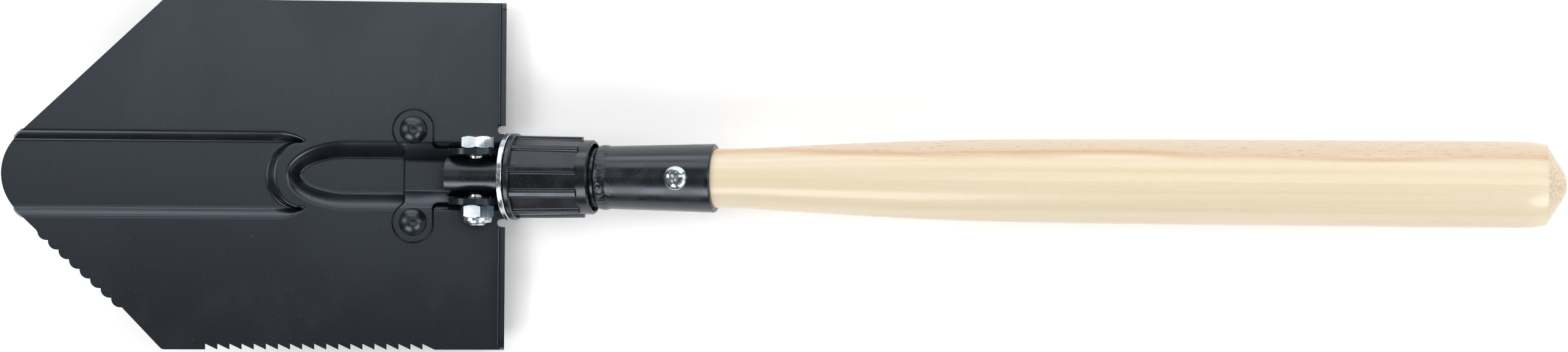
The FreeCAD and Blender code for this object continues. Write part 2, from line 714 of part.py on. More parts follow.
def blade_pieces():
    places = rivet_places()
    return {
        "blade": blade(),
        "hinge_bracket": hinge_bracket(),
        "bracket_rivet_left": bracket_rivet(places["left"]),
        "bracket_rivet_right": bracket_rivet(places["right"]),
        "pivot_bolt": pivot_bolt(),
        "pivot_nut": pivot_nut(),
        "nut_insert": nut_insert(),
    }


def shaft_pieces():
    return {
        "shim_left": shim(-1),
        "shim_right": shim(1),
        "pivot_bush": pivot_bush(),
        "neck_tube": neck_tube(),
        "thread_bush": thread_bush(),
        "lock_washer": lock_washer(),
        "lock_collar": lock_collar(),
        "socket": socket(),
        "socket_weld": socket_weld(),
        "handle_rivet": handle_rivet(),
        "handle": handle(),
    }


def main():
    os.makedirs("parts", exist_ok=True)
    tilted = blade_pieces()
    for shape in tilted.values():
        shape.rotate(CENTRE, Y_AXIS, LIFT)
    pieces = {**tilted, **shaft_pieces()}
    box = Part.makeCompound(list(pieces.values())).optimalBoundingBox()
    move = Vector(-box.Center.x, -box.Center.y, -box.ZMin)
    for name, shape in pieces.items():
        shape.translate(move)
        if not shape.isValid() or len(shape.Solids) != 1:
            print("check", name, "valid", shape.isValid(), "solids", len(shape.Solids))
        shape.exportStep(f"parts/{name}.step")
        print(f"{name:22s} {shape.Volume / 1000:8.2f} cm3")
    print("pivot at", [round(value, 3) for value in move])
    print("size", [round(value, 2) for value in (box.XLength, box.YLength, box.ZLength)])


main()
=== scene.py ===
import bpy
import bmesh
from math import atan2, asin, cos, hypot, pi, radians, sin, sqrt, tan
from mathutils import Matrix, Vector
from mathutils.geometry import intersect_point_line
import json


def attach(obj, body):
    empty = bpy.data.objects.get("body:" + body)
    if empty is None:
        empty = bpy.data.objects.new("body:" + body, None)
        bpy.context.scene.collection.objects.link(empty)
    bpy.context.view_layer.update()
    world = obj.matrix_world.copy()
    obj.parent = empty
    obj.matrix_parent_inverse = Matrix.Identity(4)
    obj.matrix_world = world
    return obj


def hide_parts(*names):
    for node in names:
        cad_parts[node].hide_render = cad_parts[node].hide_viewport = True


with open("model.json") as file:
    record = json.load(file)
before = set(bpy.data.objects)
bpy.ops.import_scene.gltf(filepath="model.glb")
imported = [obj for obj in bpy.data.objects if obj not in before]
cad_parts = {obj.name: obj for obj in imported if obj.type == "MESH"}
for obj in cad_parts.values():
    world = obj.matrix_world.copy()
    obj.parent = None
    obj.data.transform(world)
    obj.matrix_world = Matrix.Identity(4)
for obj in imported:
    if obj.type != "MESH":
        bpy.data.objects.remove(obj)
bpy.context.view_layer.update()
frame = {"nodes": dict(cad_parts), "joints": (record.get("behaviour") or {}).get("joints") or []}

print("shovel: frame loaded")

# Each piece's dictionary is in millimetres from the pivot: the shaft runs along +X, and the blade's
# pieces are drawn level and then lifted with their own place. Finishes and the studio are in metres.
pivot = Vector(next(joint["pos_m"] for joint in frame["joints"] if joint["name"] == "blade_fold"))
mm = 0.001
bladeLift = radians(17.0)
weldPast = 56.0  # from the pivot to the middle of the socket's weld
shaftPlace = Matrix.Translation(pivot) @ Matrix.Scale(mm, 4)
bladePlace = Matrix.Translation(pivot) @ Matrix.Rotation(bladeLift, 4, 'Y') @ Matrix.Scale(mm, 4)


# node helpers

def addNode(tree, kind, values=None, **settings):
    node = tree.nodes.new(kind)
    for key, value in settings.items():
        setattr(node, key, value)
    for key, value in (values or {}).items():
        if isinstance(value, bpy.types.NodeSocket):
            tree.links.new(value, node.inputs[key])
        else:
            node.inputs[key].default_value = value
    return node


def objectPlace(tree):
    return tree.nodes.new("ShaderNodeTexCoord").outputs["Object"]


def mathOut(tree, operation, first, second=0.0):
    return addNode(tree, "ShaderNodeMath", {0: first, 1: second}, operation=operation).outputs[0]


def rangeOut(tree, value, low, high, start=0.0, end=1.0):
    ramp = addNode(tree, "ShaderNodeMapRange", {"Value": value, "From Min": low, "From Max": high,
                                                "To Min": start, "To Max": end})
    ramp.interpolation_type = 'SMOOTHSTEP'
    return ramp.outputs["Result"]


def mixOut(tree, factor, first, second):
    mix = tree.nodes.new("ShaderNodeMix")
    mix.data_type = 'RGBA'
    for socket, value in ((mix.inputs[0], factor), (mix.inputs[6], first), (mix.inputs[7], second)):
        if isinstance(value, bpy.types.NodeSocket):
            tree.links.new(value, socket)
        else:
            socket.default_value = value
    return mix.outputs[2]


def stretched(tree, where, scale):
    return addNode(tree, "ShaderNodeMapping", {"Vector": where, "Scale": scale}).outputs[0]


def noiseOut(tree, vector, scale, detail=2.0, roughness=0.5, distortion=0.0):
    values = {"Vector": vector, "Scale": scale, "Detail": detail, "Roughness": roughness,
              "Distortion": distortion}
    return addNode(tree, "ShaderNodeTexNoise", values).outputs["Fac"]


def makeGroup(name, inputs, outputs):
    group = bpy.data.node_groups.new(name, "ShaderNodeTree")
    for label, value in inputs.items():
        kind = "NodeSocketVector" if isinstance(value, tuple) else "NodeSocketFloat"
        group.interface.new_socket(label, in_out='INPUT', socket_type=kind).default_value = value
    for label in outputs:
        group.interface.new_socket(label, in_out='OUTPUT', socket_type="NodeSocketFloat")
    start = group.nodes.new("NodeGroupInput")
    end = group.nodes.new("NodeGroupOutput")
    return group, start.outputs, end.inputs, objectPlace(group)


def useGroup(tree, group, **values):
    node = tree.nodes.new("ShaderNodeGroup")
    node.node_tree = group
    for label, value in values.items():
        node.inputs[label].default_value = value
    return node.outputs


def newMaterial(name, **values):
    material = bpy.data.materials.new(name)
    material.use_nodes = True
    tree = material.node_tree
    shader = next(node for node in tree.nodes if node.type == 'BSDF_PRINCIPLED')
    for label, value in values.items():
        shader.inputs[label.replace("_", " ")].default_value = value
    return material, tree, shader


def bumpTo(tree, shader, height, distance, before=None):
    values = {"Height": height, "Distance": distance}
    if before:
        values["Normal"] = before
    bump = addNode(tree, "ShaderNodeBump", values)
    tree.links.new(bump.outputs["Normal"], shader.inputs["Normal"])
    return bump.outputs["Normal"]


# surface effects that several finishes share

def makePaintSkin():
    look = {"coarseScale": 0.22, "coarseShare": 0.7, "smudgeRange": (0.38, 0.72), "dustScale": 1500.0}
    tree, given, out, where = makeGroup(
        "paintSkin", {"Grain": 2200.0, "Smudges": 14.0, "Specks": 0.70}, ("Height", "Smudge", "Speck"))
    fine = noiseOut(tree, where, given["Grain"])
    coarse = noiseOut(tree, where, mathOut(tree, 'MULTIPLY', given["Grain"], look["coarseScale"]), detail=1.0)
    height = mathOut(tree, 'ADD', fine, mathOut(tree, 'MULTIPLY', coarse, look["coarseShare"]))
    smudge = noiseOut(tree, where, given["Smudges"], detail=5.0, roughness=0.6, distortion=0.6)
    dust = noiseOut(tree, where, look["dustScale"], detail=0.0)
    tree.links.new(height, out["Height"])
    tree.links.new(rangeOut(tree, smudge, *look["smudgeRange"]), out["Smudge"])
    tree.links.new(mathOut(tree, 'GREATER_THAN', dust, given["Specks"]), out["Speck"])
    return tree


def makeMetalLines():
    tree, given, out, where = makeGroup("metalLines", {"Stretch": (4000.0, 60.0, 60.0)}, ("Lines", "Stain"))
    lines = noiseOut(tree, stretched(tree, where, given["Stretch"]), 1.0, detail=3.0, roughness=0.6)
    stain = noiseOut(tree, where, 130.0, detail=4.0, roughness=0.6)
    tree.links.new(lines, out["Lines"])
    tree.links.new(stain, out["Stain"])
    return tree


paintSkin = makePaintSkin()
metalLines = makeMetalLines()


# finishes

def makeBlackCoat():
    look = {"dark": (0.0024, 0.0031, 0.0041, 1), "light": (0.0038, 0.0047, 0.0060, 1),
            "speck": (0.03, 0.033, 0.037, 1), "sheen": (0.74, 0.85, 1.0, 1), "shine": 0.6,
            "roughness": (0.25, 0.31), "grainHeight": 0.000006}
    material, tree, shader = newMaterial("blackCoat", Specular_IOR_Level=look["shine"],
                                         Specular_Tint=look["sheen"])
    skin = useGroup(tree, paintSkin, Grain=2100.0, Smudges=16.0, Specks=0.83)
    base = mixOut(tree, skin["Smudge"], look["dark"], look["light"])
    tree.links.new(mixOut(tree, skin["Speck"], base, look["speck"]), shader.inputs["Base Color"])
    tree.links.new(rangeOut(tree, skin["Smudge"], 0.0, 1.0, *look["roughness"]), shader.inputs["Roughness"])
    bumpTo(tree, shader, skin["Height"], look["grainHeight"])
    return material


def makeGlossBlack(name, weldFrom=None):
    look = {"dark": (0.0026, 0.0029, 0.0036, 1), "light": (0.0046, 0.0051, 0.0060, 1),
            "speck": (0.035, 0.035, 0.036, 1), "sheen": (0.8, 0.89, 1.0, 1), "shine": 0.6,
            "roughness": (0.24, 0.34), "grainHeight": 0.000004,
            "spatterLength": 0.011, "spatterHeight": 0.00006, "spatterScale": 560.0}
    material, tree, shader = newMaterial(name, Specular_IOR_Level=look["shine"], Specular_Tint=look["sheen"])
    skin = useGroup(tree, paintSkin, Grain=900.0, Smudges=60.0, Specks=0.79)
    base = mixOut(tree, skin["Smudge"], look["dark"], look["light"])
    tree.links.new(mixOut(tree, skin["Speck"], base, look["speck"]), shader.inputs["Base Color"])
    tree.links.new(rangeOut(tree, skin["Smudge"], 0.0, 1.0, *look["roughness"]), shader.inputs["Roughness"])
    normal = bumpTo(tree, shader, skin["Height"], look["grainHeight"])
    if weldFrom is not None:  # drops of weld under the paint, thinning out along the socket
        where = objectPlace(tree)
        along = addNode(tree, "ShaderNodeSeparateXYZ", {0: where}).outputs["X"]
        fade = rangeOut(tree, along, weldFrom, weldFrom + look["spatterLength"], 1.0, 0.0)
        lumps = noiseOut(tree, where, look["spatterScale"], detail=3.0, roughness=0.55, distortion=0.5)
        height = mathOut(tree, 'MULTIPLY', rangeOut(tree, lumps, 0.42, 0.7), fade)
        bumpTo(tree, shader, height, look["spatterHeight"], before=normal)
    return material


def makeZinc(name, stretch):
    look = {"bright": (0.66, 0.70, 0.73, 1), "dull": (0.36, 0.42, 0.46, 1),
            "roughness": (0.16, 0.3), "lineHeight": 0.000008}
    material, tree, shader = newMaterial(name, Metallic=1.0)
    lines = useGroup(tree, metalLines, Stretch=stretch)
    tone = mathOut(tree, 'MULTIPLY', lines["Stain"], lines["Lines"])
    plate = mixOut(tree, rangeOut(tree, tone, 0.15, 0.4), look["dull"], look["bright"])
    tree.links.new(plate, shader.inputs["Base Color"])
    tree.links.new(rangeOut(tree, lines["Lines"], 0.3, 0.7, *look["roughness"]), shader.inputs["Roughness"])
    bumpTo(tree, shader, lines["Lines"], look["lineHeight"])
    return material


def makeNylon():
    look = {"light": (0.03, 0.10, 0.30, 1), "dark": (0.02, 0.06, 0.20, 1), "grainHeight": 0.00002}
    material, tree, shader = newMaterial("nylonRing", Roughness=0.45)
    skin = useGroup(tree, paintSkin, Grain=1600.0, Smudges=300.0, Specks=0.9)
    tree.links.new(mixOut(tree, skin["Smudge"], look["dark"], look["light"]), shader.inputs["Base Color"])
    bumpTo(tree, shader, skin["Height"], look["grainHeight"])
    return material


def makeWood():
    look = {"cream": (0.60, 0.515, 0.375, 1), "straw": (0.57, 0.475, 0.315, 1),
            # pink is painted shade on the +Y side of the handle, and also tints a strip along its -Y edge
            "pink": (0.53, 0.41, 0.305, 1), "orange": (0.47, 0.29, 0.15, 1),
            "fleck": (0.34, 0.20, 0.11, 1), "endGrainAndShade": (0.40, 0.28, 0.155, 1),
            "bandSide": 0.0108, "bandWidth": 0.0021, "wander": 0.007,
            "coneStart": 0.3170, "coneBlend": 0.0012, "grainHeight": 0.00003,
            "scales": {"wander": (9.0, 60.0, 60.0), "fibres": (22.0, 1500.0, 1500.0),
                       "layers": (5.0, 330.0, 90.0), "dashes": (260.0, 2600.0, 2600.0)}}
    material, tree, shader = newMaterial("ashWood", Roughness=0.38, Coat_Weight=0.35, Coat_Roughness=0.16)
    where = objectPlace(tree)
    place = addNode(tree, "ShaderNodeSeparateXYZ", {0: where}).outputs
    slow = noiseOut(tree, stretched(tree, where, look["scales"]["wander"]), 1.0)
    wander = mathOut(tree, 'MULTIPLY', mathOut(tree, 'SUBTRACT', slow, 0.5), look["wander"])
    side = mathOut(tree, 'ADD', place["Y"], wander)  # which growth layer a point lies in
    fibres = noiseOut(tree, stretched(tree, where, look["scales"]["fibres"]), 1.0, detail=4.0, roughness=0.6)
    layers = noiseOut(tree, stretched(tree, where, look["scales"]["layers"]), 1.0, detail=3.0, roughness=0.55)
    dashes = noiseOut(tree, stretched(tree, where, look["scales"]["dashes"]), 1.0, detail=1.0)
    pores = rangeOut(tree, dashes, 0.60, 0.72)

    body = mixOut(tree, rangeOut(tree, layers, 0.38, 0.80), look["cream"], look["straw"])
    streaks = mathOut(tree, 'MULTIPLY', rangeOut(tree, fibres, 0.45, 0.8), 0.3)
    body = mixOut(tree, streaks, body, look["straw"])
    edge = look["bandSide"]
    width = look["bandWidth"]
    # past the orange band on the +Y side the wood is painted pinker and darker: painted shade of the side
    # away from the key light; flecks also crowd there
    shadedSide = rangeOut(tree, side, edge - width, edge + width)
    low = rangeOut(tree, side, -edge - 3 * width, -edge - 1.5 * width, 1.0, 0.0)
    body = mixOut(tree, mathOut(tree, 'MULTIPLY', shadedSide, 0.75), body, look["pink"])
    body = mixOut(tree, mathOut(tree, 'MULTIPLY', low, 0.6), body, look["pink"])
    near = mathOut(tree, 'ABSOLUTE', mathOut(tree, 'SUBTRACT', side, edge))
    band = rangeOut(tree, near, 0.0, width, 1.0, 0.0)
    band = mathOut(tree, 'MULTIPLY', band, rangeOut(tree, fibres, 0.2, 0.6, 0.45, 1.0))
    body = mixOut(tree, mathOut(tree, 'MULTIPLY', band, 0.8), body, look["orange"])
    crowd = mathOut(tree, 'ADD', mathOut(tree, 'MULTIPLY', shadedSide, 0.6), 0.08)
    body = mixOut(tree, mathOut(tree, 'MULTIPLY', pores, crowd), body, look["fleck"])
    # the end cone's darker colour is partly end grain and partly painted shade, as the cone faces away from
    # the lights
    cone = rangeOut(tree, place["X"], look["coneStart"], look["coneStart"] + look["coneBlend"])
    rings = noiseOut(tree, where, 900.0, detail=3.0)
    ends = mixOut(tree, rangeOut(tree, rings, 0.3, 0.7), look["endGrainAndShade"], look["straw"])
    body = mixOut(tree, mathOut(tree, 'MULTIPLY', cone, 0.85), body, ends)
    tree.links.new(body, shader.inputs["Base Color"])
    grain = mathOut(tree, 'SUBTRACT', fibres, mathOut(tree, 'MULTIPLY', pores, 0.5))
    bumpTo(tree, shader, grain, look["grainHeight"])
    return material


blackCoat = makeBlackCoat()
glossBlack = makeGlossBlack("glossBlack")
socketBlack = makeGlossBlack("socketBlack", weldFrom=pivot.x + weldPast * mm)
zinc = makeZinc("zincPlate", (70.0, 70.0, 2600.0))
zincWasher = makeZinc("zincWasher", (900.0, 500.0, 90.0))
nylonRing = makeNylon()
ashWood = makeWood()
print("shovel: finishes made")


# modelling helpers

def finishPiece(name, bm, place, body, nodes, material):
    bmesh.ops.transform(bm, matrix=place, verts=bm.verts)
    mesh = bpy.data.meshes.new(name)
    bm.to_mesh(mesh)
    bm.free()
    mesh.shade_smooth()
    mesh.materials.append(material)
    piece = bpy.data.objects.new(name, mesh)
    bpy.context.scene.collection.objects.link(piece)
    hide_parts(*nodes)
    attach(piece, body)
    return piece


def roundEdges(piece, width, angle, segments=2):
    bevel = piece.modifiers.new("roundEdges", 'BEVEL')
    bevel.width = width
    bevel.segments = segments
    bevel.limit_method = 'ANGLE'
    bevel.angle_limit = radians(angle)
    bevel.miter_outer = 'MITER_ARC'
    weighted = piece.modifiers.new("evenShading", 'WEIGHTED_NORMAL')
    weighted.weight = 50


def turned(points, steps=96):  # (along X, radius) points spun right round the X axis
    bm = bmesh.new()
    verts = [bm.verts.new((along, 0.0, radius)) for along, radius in points]
    edges = [bm.edges.new(pair) for pair in zip(verts, verts[1:])]
    bmesh.ops.spin(bm, geom=verts + edges, cent=(0, 0, 0), axis=(1, 0, 0), angle=2 * pi, steps=steps,
                   use_merge=True, use_duplicate=False)
    bmesh.ops.remove_doubles(bm, verts=bm.verts, dist=0.0005)
    bmesh.ops.recalc_face_normals(bm, faces=bm.faces)
    return bm


def arcPoints(centre, radius, start, end, steps):
    turns = [radians(start + (end - start) * step / steps) for step in range(steps + 1)]
    return [(centre[0] + radius * cos(turn), centre[1] + radius * sin(turn)) for turn in turns]


def cutGrid(bm, xLines, yLines):
    for axis, lines in ((Vector((1, 0, 0)), xLines), (Vector((0, 1, 0)), yLines)):
        for line in lines:
            bmesh.ops.bisect_plane(bm, geom=bm.verts[:] + bm.edges[:] + bm.faces[:], dist=0.0002,
                                   plane_co=axis * line, plane_no=axis)


def spread(start, end, step):  # evenly spaced, with both ends
    count = max(1, round(abs(end - start) / step))
    return [start + (end - start) * i / count for i in range(count + 1)]


def gridLines(runs):
    return [line for run in runs for line in spread(*run)]


# the blade: one sheet, pressed, toothed and turned up at the rear

blade = {"top": -16.0, "sheet": 2.0, "halfWidth": 75.0, "shoulder": 133.7, "rear": 11.7, "edgeRound": 0.35,
         "edgeAngle": 62.0,
         "tipReach": 201.8, "tipRound": 22.7, "tipCut": 23.7, "shoulderCut": 1.04, "scallopCut": 3.7,
         "cutSteps": {"tipCut": 28, "scallopCut": 7, "shoulderCut": 3},
         "teeth": 19, "toothPitch": 5.14, "toothDepth": 2.5, "teethStart": 115.4,
         "scallops": 8, "scallopPitch": 4.44, "scallopDrop": 4.08, "scallopsStart": 186.1,
         "scallopInset": 0.3,
         "channelDepth": 3.2, "channelOpen": 18.4, "channelFloor": 14.4, "channelEnd": 75.7,
         "channelEase": 1.35, "crescentRound": 14.4, "crescentWidth": 4.0, "crescentEase": 1.1,
         "hornTaper": 0.6, "hornLength": 9.0, "hornPast": 1.0, "hornCloses": 3.5,
         "recessDepth": 6.0, "recessOpen": 14.6, "recessFloor": 7.9, "recessStraight": 54.7,
         "recessEase": 1.4, "noseOpen": 81.4, "noseFloor": 76.0,
         "xGrid": [(-200.0, -94.0, 4.0), (-93.5, -50.0, 0.55), (-46.0, 6.0, 4.0)],
         "yGrid": [(-71.0, -19.0, 4.0), (-18.4, 18.4, 0.5), (71.0, 19.0, 4.0)],
         "edgeLines": [74.2, 73.2, 72.2, 20.1, -20.1, -72.4, -73.4, -74.3],
         "soft": {"half": 19.0, "front": -198.0, "rear": 4.0, "share": 0.4},
         "bendAt": 8.7, "bendRound": 1.4, "stepTop": -10.5, "stepStart": 21.8, "stepCorner": 3.5,
         "notchRound": 1.7, "notchAt": 10.5}


def bladeOutline(size):  # corners, each with how far its own rounding cuts back
    wide = size["halfWidth"]
    ahead = size["tipReach"] - size["tipRound"] - size["shoulder"]
    lean = atan2(ahead, wide) + asin(size["tipRound"] / hypot(ahead, wide))  # slope of the point's two edges
    pointX = -size["shoulder"] - wide * tan(lean)
    corners = [((size["bendAt"], wide), 0), ((-size["shoulder"], wide), 0), ((pointX, 0.0), size["tipCut"])]
    x = -size["scallopsStart"]
    y = -wide - (x + size["shoulder"]) / tan(lean)
    corners.append(((x, y), 0))
    y += size["scallopInset"]
    for _ in range(size["scallops"]):
        corners.append(((x, y), 0))
        y -= size["scallopDrop"]
        corners.append(((x, y), size["scallopCut"]))
        x += size["scallopPitch"]
    corners.append(((x, y), 0))
    corners.append(((-size["shoulder"], -wide), size["shoulderCut"]))
    x = -size["teethStart"]
    for _ in range(size["teeth"]):
        corners += [((x, -wide), 0), ((x, size["toothDepth"] - wide), 0)]
        x += size["toothPitch"]
    corners += [((x, -wide), 0), ((size["bendAt"], -wide), 0), ((size["bendAt"], -size["stepStart"]), 0)]
    notch = size["notchRound"]
    notchY = size["stepStart"] - notch
    corners += [(point, 0) for point in arcPoints((size["notchAt"], -notchY), notch, 270, 90, 8)]
    corners += [((size["rear"], notch - notchY), 0), ((size["rear"], notchY - notch), 0)]
    corners += [(point, 0) for point in arcPoints((size["notchAt"], notchY), notch, 270, 90, 8)]
    corners.append(((size["bendAt"], size["stepStart"]), 0))
    return corners


def risingShare(value, outside, inside):  # 0 where the flat ends, 1 where the floor begins
    return min(max((value - outside) / (inside - outside), 0.0), 1.0)


def channelShare(size, x, y):  # its end is a crescent with two pointed horns
    side = abs(y)
    bulge = size["crescentRound"] * sqrt(max(0.0, 1 - (side / size["crescentRound"]) ** 2))
    width = size["crescentWidth"] * (1 - size["hornTaper"] * min(1.0, side / size["crescentRound"]) ** 2)
    wall = risingShare(x, width - size["channelEnd"] - bulge, -size["channelEnd"] - bulge)
    closing = risingShare(x, -size["channelEnd"] - size["hornLength"], -size["channelEnd"] + size["hornPast"])
    openHalf = size["channelOpen"] - size["hornCloses"] * closing ** 2
    flank = risingShare(side, openHalf, size["channelFloor"])
    return min(wall ** size["crescentEase"], flank ** size["channelEase"])


def ovalReach(angle, along, across):  # from an oval's centre to its rim
    return 1 / hypot(cos(angle) / along, sin(angle) / across)


def recessShare(size, x, y):  # flanks that close in on a round nose
    ahead = -x - size["recessStraight"]
    if ahead <= 0:
        return risingShare(abs(y), size["recessOpen"], size["recessFloor"]) ** size["recessEase"]
    angle = atan2(abs(y), ahead)
    openReach = ovalReach(angle, size["noseOpen"] - size["recessStraight"], size["recessOpen"])
    floorReach = ovalReach(angle, size["noseFloor"] - size["recessStraight"], size["recessFloor"])
    return risingShare(hypot(ahead, y), openReach, floorReach) ** size["recessEase"]


def pressedDepth(size, x, y):
    return max(size["channelDepth"] * channelShare(size, x, y), size["recessDepth"] * recessShare(size, x, y))


def makeBlade(size):
    bm = bmesh.new()
    corners = bladeOutline(size)
    verts = [bm.verts.new((x, y, size["top"])) for (x, y), _ in corners]
    bm.faces.new(verts)
    for label, steps in size["cutSteps"].items():
        picked = [vert for vert, (_, cut) in zip(verts, corners) if cut == size[label]]
        bmesh.ops.bevel(bm, geom=picked, affect='VERTICES', offset=size[label], offset_type='OFFSET',
                        segments=steps, profile=0.5, material=-1)
    bmesh.ops.dissolve_limit(bm, angle_limit=0.0001, verts=bm.verts, edges=bm.edges)
    cutGrid(bm, gridLines(size["xGrid"]), gridLines(size["yGrid"]) + size["edgeLines"])
    for vert in bm.verts:
        vert.co.z -= pressedDepth(size, vert.co.x, vert.co.y)
    soft = size["soft"]
    pressed = [vert for vert in bm.verts
               if abs(vert.co.y) < soft["half"] and soft["front"] < vert.co.x < soft["rear"]]
    bmesh.ops.smooth_vert(bm, verts=pressed, factor=soft["share"], use_axis_z=True)
    turnUp(bm, size)
    piece = finishPiece("blade_sheet", bm, bladePlace, "blade_group", ["blade"], blackCoat)
    thick = piece.modifiers.new("sheet", 'SOLIDIFY')
    thick.thickness = size["sheet"] * mm
    thick.offset = -1
    thick.use_even_offset = True
    roundEdges(piece, size["edgeRound"] * mm, angle=size["edgeAngle"])


def turnUp(bm, size):  # the narrow step for the boot, on each side
    near = 0.01
    onBend = {vert for vert in bm.verts if abs(vert.co.x - size["bendAt"]) < near
              and abs(vert.co.y) > size["stepStart"] - near}
    rear = [edge for edge in bm.edges if edge.is_boundary and onBend.issuperset(edge.verts)]
    geometry = rear + list({vert for edge in rear for vert in edge.verts})
    centre = (size["bendAt"], 0, size["top"] + size["bendRound"])
    bend = bmesh.ops.spin(bm, geom=geometry, cent=centre, axis=(0, -1, 0), angle=pi / 2, steps=6,
                          use_duplicate=False)
    last = [item for item in bend["geom_last"] if isinstance(item, bmesh.types.BMEdge)]
    wall = bmesh.ops.extrude_edge_only(bm, edges=last)
    for vert in (item for item in wall["geom"] if isinstance(item, bmesh.types.BMVert)):
        past = max(0.0, abs(vert.co.y) - (size["halfWidth"] - size["stepCorner"]))
        vert.co.z = size["stepTop"] - size["stepCorner"] + sqrt(max(0.0, size["stepCorner"] ** 2 - past ** 2))
    bmesh.ops.recalc_face_normals(bm, faces=bm.faces)
    bm.normal_update()
    if sum(face.normal.z for face in bm.faces) < 0:
        bmesh.ops.reverse_faces(bm, faces=bm.faces)


makeBlade(blade)
print("shovel: blade made")


# the hinge bracket: a pressed plate with two round ears

bracket = {"top": -13.5, "plate": 2.5, "depth": 6.0, "front": -31.6, "rear": 11.0, "halfWidth": 12.0,
           "flankOpen": 14.6, "flankFloor": 6.3, "flankEase": 1.4, "underShift": 1.17,
           "tab": (-27.4, 19.85), "tabRound": 9.2, "tabBack": -18.5, "tabRise": 1.2, "tabTurn": 15,
           "innerFillet": 2.0, "frontFillet": 2.2,
           "xGrid": (-30.0, 10.0, 2.5), "flankGrid": (5.3, 14.8, 0.5), "floorLines": [-2.5, 2.5],
           "tabLines": [17.0, 20.0, 23.0, 26.0],
           "earInner": 9.4, "earRound": 12.9, "earFlat": 12.5, "earTurns": (-8, 189, 4),
           "flats": (17.0, 107.0, 177.0), "flatSpan": 40,
           "earFoot": [(-12.6, -2.6), (-12.6, -16.4), (-13.2, -17.3), (-14.4, -18.4), (-16.0, -19.3)],
           "webFront": -16.2, "webBack": 10.6, "webSink": 0.3,
           "rimWidth": 0.8, "rimDrop": 1.7, "edgeRound": 0.35, "edgeAngle": 52.0}


def tabSide(size, side):  # half of the plate's outline, from its front round to its rear
    tabX, tabY = size["tab"]
    fillet = size["frontFillet"]
    filletX = size["front"] - fillet
    filletY = tabY - sqrt((size["tabRound"] + fillet) ** 2 - (tabX - filletX) ** 2)
    lean = atan2(tabY - filletY, tabX - filletX) * 180 / pi
    points = arcPoints((filletX, filletY), fillet, 0, lean, 4)
    points += arcPoints((tabX, tabY), size["tabRound"], 180 + lean, size["tabTurn"], 30)
    points.append((size["tabBack"], tabY + size["tabRise"]))
    inner = size["innerFillet"]
    corner = (size["tabBack"] + inner, size["halfWidth"] + inner)
    points += arcPoints(corner, inner, 180, 270, 4)
    points.append((size["rear"], size["halfWidth"]))
    return [(x, side * y) for x, y in points]


def plateDrop(size, y, shift=0.0):
    share = risingShare(abs(y) - shift, size["flankOpen"], size["flankFloor"])
    return size["depth"] * share ** size["flankEase"]


def edgeDistance(outline, point):  # seen from above, to the nearest edge of the outline
    flat = Vector((point.x, point.y))
    nearest = []
    for start, end in zip(outline, outline[1:] + outline[:1]):
        share = min(max(intersect_point_line(flat, start, end)[1], 0.0), 1.0)
        nearest.append((flat - Vector(start).lerp(Vector(end), share)).length)
    return min(nearest)


def makeBracket(size):
    bm = bmesh.new()
    outline = tabSide(size, 1) + tabSide(size, -1)[::-1]
    bm.faces.new([bm.verts.new((x, y, 0.0)) for x, y in outline])
    bm.normal_update()
    bmesh.ops.inset_region(bm, faces=bm.faces[:], thickness=size["rimWidth"], use_boundary=True,
                           use_even_offset=True)
    flank = spread(*size["flankGrid"])
    yLines = [-y for y in size["tabLines"][::-1]] + [-y for y in flank] + size["floorLines"]
    cutGrid(bm, spread(*size["xGrid"]), yLines + flank + size["tabLines"])
    if sum(face.normal.z for face in bm.faces) < 0:
        bmesh.ops.reverse_faces(bm, faces=bm.faces)
    lower = bmesh.ops.extrude_face_region(bm, geom=bm.faces[:])
    lowVerts = {item for item in lower["geom"] if isinstance(item, bmesh.types.BMVert)}
    for vert in bm.verts:
        if vert in lowVerts:
            vert.co.z = size["top"] - size["plate"] - plateDrop(size, vert.co.y, size["underShift"])
        else:
            worn = 1 - min(1.0, edgeDistance(outline, vert.co) / size["rimWidth"])
            vert.co.z = size["top"] - plateDrop(size, vert.co.y) - size["rimDrop"] * worn
    bmesh.ops.recalc_face_normals(bm, faces=bm.faces)
    for side in (1, -1):
        addEar(bm, size, side)
    piece = finishPiece("bracket_pressing", bm, bladePlace, "blade_group", ["hinge_bracket"],
                        blackCoat)
    roundEdges(piece, size["edgeRound"] * mm, segments=3, angle=size["edgeAngle"])


def addEar(bm, size, side):
    outline = []
    for turn in range(*size["earTurns"]):
        reach = size["earRound"]
        for flat in size["flats"]:
            if abs(turn - flat) < size["flatSpan"]:
                reach = min(reach, size["earFlat"] / cos(radians(turn - flat)))
        outline.append((reach * cos(radians(turn)), reach * sin(radians(turn))))
    under = size["top"] - size["depth"] - size["webSink"]
    outline += size["earFoot"] + [(size["webFront"], under), (size["webBack"], under)]
    y = side * size["earInner"]
    face = bm.faces.new([bm.verts.new((x, y, z)) for x, z in outline])
    wall = bmesh.ops.extrude_face_region(bm, geom=[face])
    verts = [item for item in wall["geom"] if isinstance(item, bmesh.types.BMVert)]
    bmesh.ops.translate(bm, verts=verts, vec=(0, side * (size["halfWidth"] - size["earInner"]), 0))
    linked = set(verts) | set(face.verts)
    faces = [item for item in bm.faces if all(vert in linked for vert in item.verts)]
    bmesh.ops.recalc_face_normals(bm, faces=faces)


makeBracket(bracket)
print("shovel: hinge bracket made")


# rivets and the weld

rivets = {"places": {"bracket_rivet_left": -19.85, "bracket_rivet_right": 19.85}, "x": -27.4,
          "seat": -13.5, "under": -18.0, "head": 6.0, "height": 3.0, "flat": 1.5,
          "tail": 4.7, "tailHeight": 1.8, "tailFlat": 1.6, "shank": 3.0, "neck": 0.2}
handleRivet = {"x": 89.7, "head": 5.15, "height": 2.9, "surface": 14.13, "sunk": 1.0, "rise": 0.5,
               "hammered": 0.07, "unround": 0.008}
weldBead = {"profile": [(53.2, 12.65), (53.5, 13.1), (54.3, 13.45), (55.3, 13.72), (56.4, 13.8),
                        (57.5, 13.68), (58.3, 13.5), (58.8, 13.3)],
            "middle": weldPast, "reach": 3.0, "ripple": 0.22, "ripples": 34}


